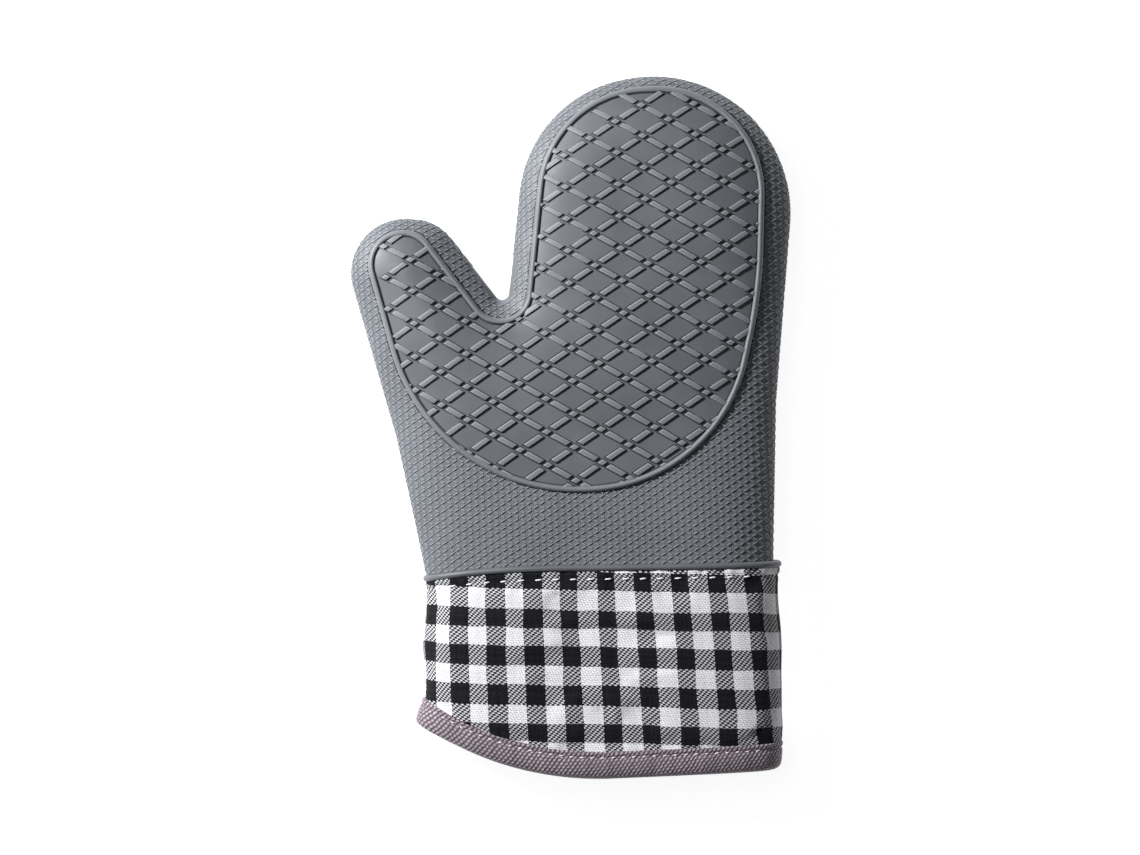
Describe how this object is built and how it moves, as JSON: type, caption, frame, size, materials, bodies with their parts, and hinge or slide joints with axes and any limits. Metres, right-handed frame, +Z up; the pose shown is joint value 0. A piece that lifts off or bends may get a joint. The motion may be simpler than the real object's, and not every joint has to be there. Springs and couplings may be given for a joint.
{
  "type": "oven mitt",
  "caption": "Oven mitt: moulded silicone mitten with a raised diamond grip, padded lining and a bound gingham cuff.",
  "frame": {"origin": "on the floor under the middle of the mitt as it lies on its back, palm side up", "axes": "+X across the hand away from the thumb, +Y to the fingertips, +Z up out of the palm"},
  "size_m": [0.1822, 0.29, 0.0298],
  "materials": {
    "silicone": "satin",
    "gingham_cotton": "matte",
    "wadding": "matte",
    "lining_cotton": "matte",
    "binding_cotton": "matte",
    "white_thread": "satin"
  },
  "bodies": {
    "palm": {"binding_stitches": "white_thread", "binding_tape": "binding_cotton", "cuff_gingham_back": "gingham_cotton", "cuff_gingham_front": "gingham_cotton", "cuff_lining_back": "lining_cotton", "cuff_lining_front": "lining_cotton", "cuff_wadding_back": "wadding", "cuff_wadding_front": "wadding", "grip_panel_back_palm": "silicone", "grip_panel_front_palm": "silicone", "hem_stitches": "white_thread", "lining_back_palm": "lining_cotton", "lining_front_palm": "lining_cotton", "silicone_shell_palm": "silicone", "wadding_back_palm": "wadding", "wadding_front_palm": "wadding"},
    "fingers": {"grip_panel_back_fingers": "silicone", "grip_panel_front_fingers": "silicone", "lining_back_fingers": "lining_cotton", "lining_front_fingers": "lining_cotton", "silicone_shell_fingers": "silicone", "wadding_back_fingers": "wadding", "wadding_front_fingers": "wadding"},
    "thumb": {"grip_panel_back_thumb": "silicone", "grip_panel_front_thumb": "silicone", "lining_back_thumb": "lining_cotton", "lining_front_thumb": "lining_cotton", "silicone_shell_thumb": "silicone", "wadding_back_thumb": "wadding", "wadding_front_thumb": "wadding"}
  },
  "joints": [
    {"name": "finger_fold", "type": "hinge", "parent": "palm", "child": "fingers", "pos_m": [0.035, 0.08, 0.0298], "axis": [1, 0, 0], "range_deg": [0, 60], "stiffness_Nm_per_rad": 0.1},
    {"name": "thumb_fold", "type": "hinge", "parent": "palm", "child": "thumb", "pos_m": [-0.0359, 0.0664, 0.0298], "axis": [0.9121, 0.4099, 0], "range_deg": [0, 45], "stiffness_Nm_per_rad": 0.05}
  ]
}
